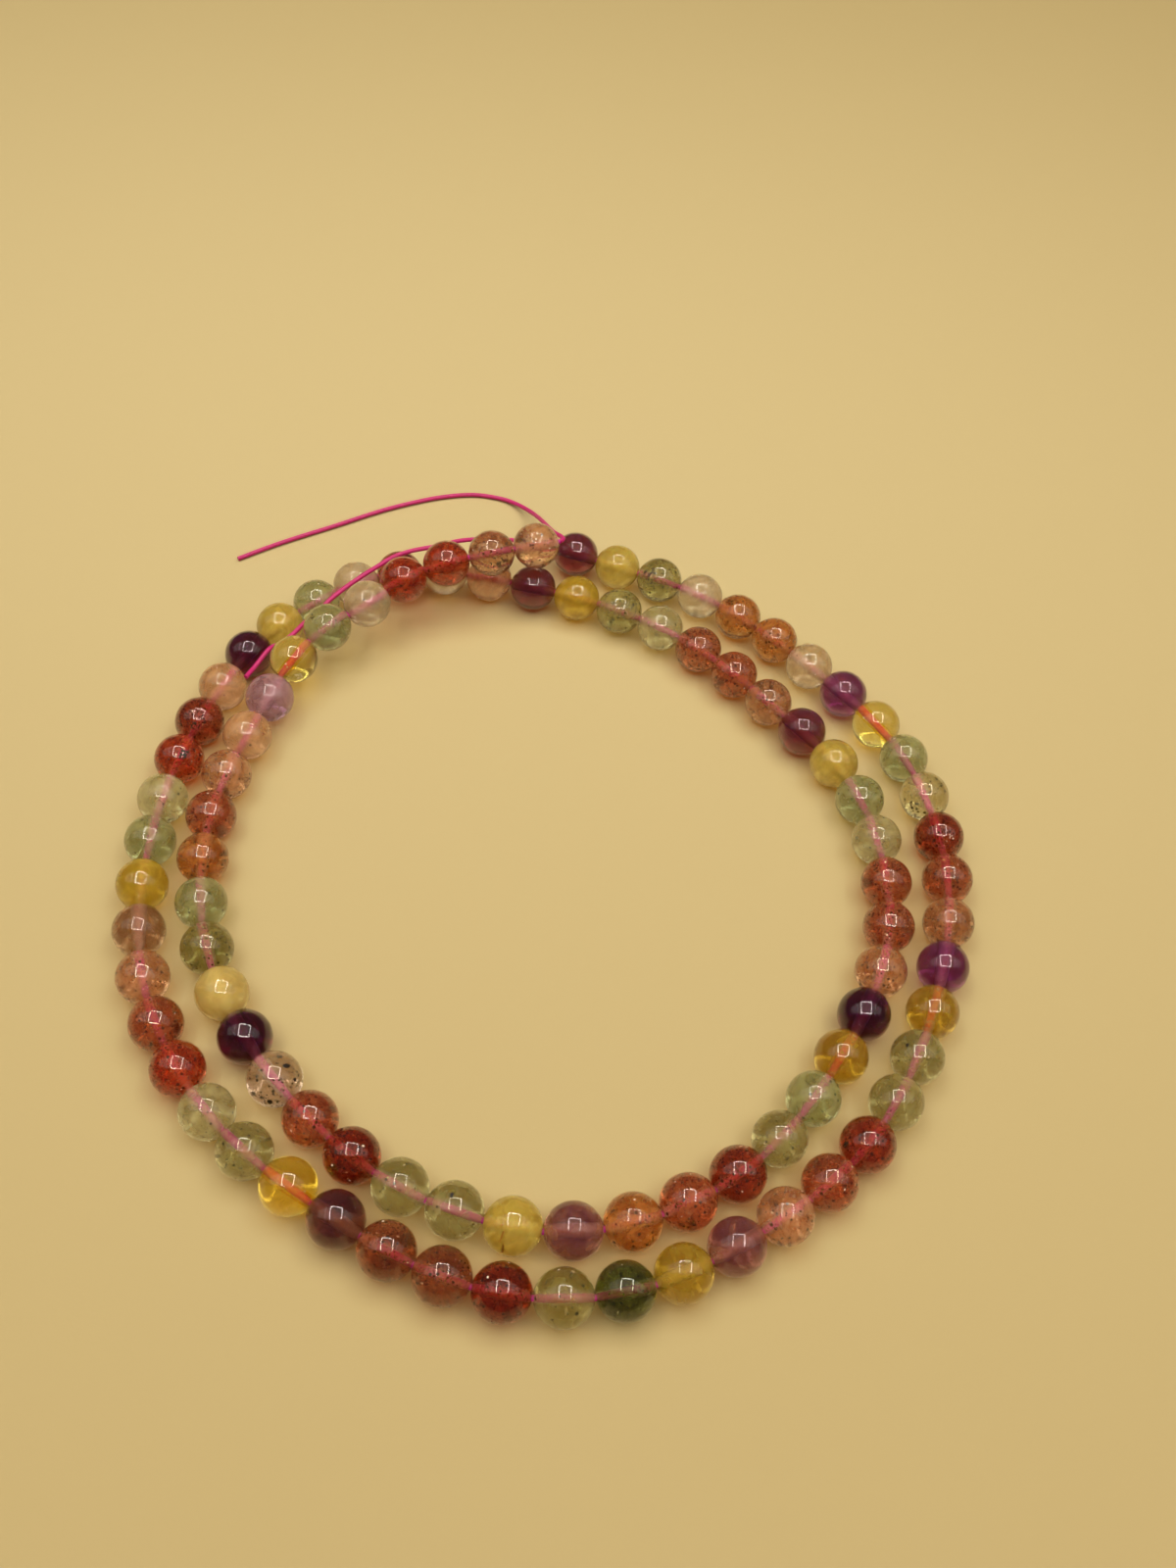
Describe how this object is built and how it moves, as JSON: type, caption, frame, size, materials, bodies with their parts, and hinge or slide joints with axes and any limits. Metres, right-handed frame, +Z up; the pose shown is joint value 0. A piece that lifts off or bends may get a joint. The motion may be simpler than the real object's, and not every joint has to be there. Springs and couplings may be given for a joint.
{
  "type": "crystal bracelet",
  "caption": "Strand of round polished quartz beads in mixed colours on a pink elastic thread, lying in a double loop with its loose thread ends, to be wound round a wrist as a bracelet.",
  "frame": {"origin": "on the surface that the beads lie on, under the middle of the beads' box, the loose thread ends left out", "axes": "+Z up from the surface, +Y towards the back, where both ends of the strand lie, +X to the right"},
  "size_m": [0.1, 0.1179, 0.0121],
  "materials": {
    "amethyst": "polished, clear to cloudy purple",
    "citrine": "polished, clear to milky yellow",
    "green_quartz": "polished, soft green with fine dark specks",
    "pale_green_quartz": "polished, pale green to clear, a few specks",
    "strawberry_quartz": "polished, red with fine red and black inclusions",
    "rose_quartz": "polished, pale pink with fine red specks",
    "mixed_quartz": "polished, the same stones in the order of the strand",
    "elastic_thread": "smooth stretchy bead thread, deep pink"
  },
  "bodies": {
    "root": {"bead_01": "amethyst", "bead_02": "citrine", "bead_03": "green_quartz", "bead_04": "pale_green_quartz", "bead_05": "strawberry_quartz", "bead_06": "strawberry_quartz", "bead_07": "rose_quartz", "bead_08": "amethyst", "bead_09": "citrine", "bead_10": "green_quartz", "bead_11": "pale_green_quartz", "bead_12": "strawberry_quartz", "bead_13": "strawberry_quartz", "bead_14": "rose_quartz", "bead_15": "amethyst", "bead_16": "citrine", "bead_17": "green_quartz", "bead_18": "pale_green_quartz", "bead_19": "strawberry_quartz", "bead_20": "strawberry_quartz", "bead_21": "rose_quartz", "bead_22": "amethyst", "bead_23": "citrine", "bead_24": "green_quartz", "bead_25": "pale_green_quartz", "bead_26": "strawberry_quartz", "bead_27": "strawberry_quartz", "bead_28": "rose_quartz", "bead_29": "amethyst", "bead_30": "citrine", "bead_31": "green_quartz", "bead_32": "pale_green_quartz", "bead_33": "strawberry_quartz", "bead_34": "strawberry_quartz", "bead_35": "rose_quartz", "bead_36": "amethyst", "bead_37": "citrine", "bead_38": "green_quartz", "bead_39": "pale_green_quartz", "bead_40": "strawberry_quartz", "bead_41": "strawberry_quartz", "beads_42_to_45": "mixed_quartz", "beads_46_to_49": "mixed_quartz", "beads_50_to_53": "mixed_quartz", "beads_54_to_57": "mixed_quartz", "beads_58_to_61": "mixed_quartz", "beads_62_to_65": "mixed_quartz", "beads_66_to_69": "mixed_quartz", "beads_70_to_73": "mixed_quartz", "beads_74_to_77": "mixed_quartz", "beads_78_to_81": "mixed_quartz", "beads_82_to_85": "mixed_quartz", "beads_86_to_89": "mixed_quartz", "beads_90_to_93": "mixed_quartz", "thread": "elastic_thread", "thread_tail_long": "elastic_thread", "thread_tail_short": "elastic_thread"}
  },
  "joints": []
}
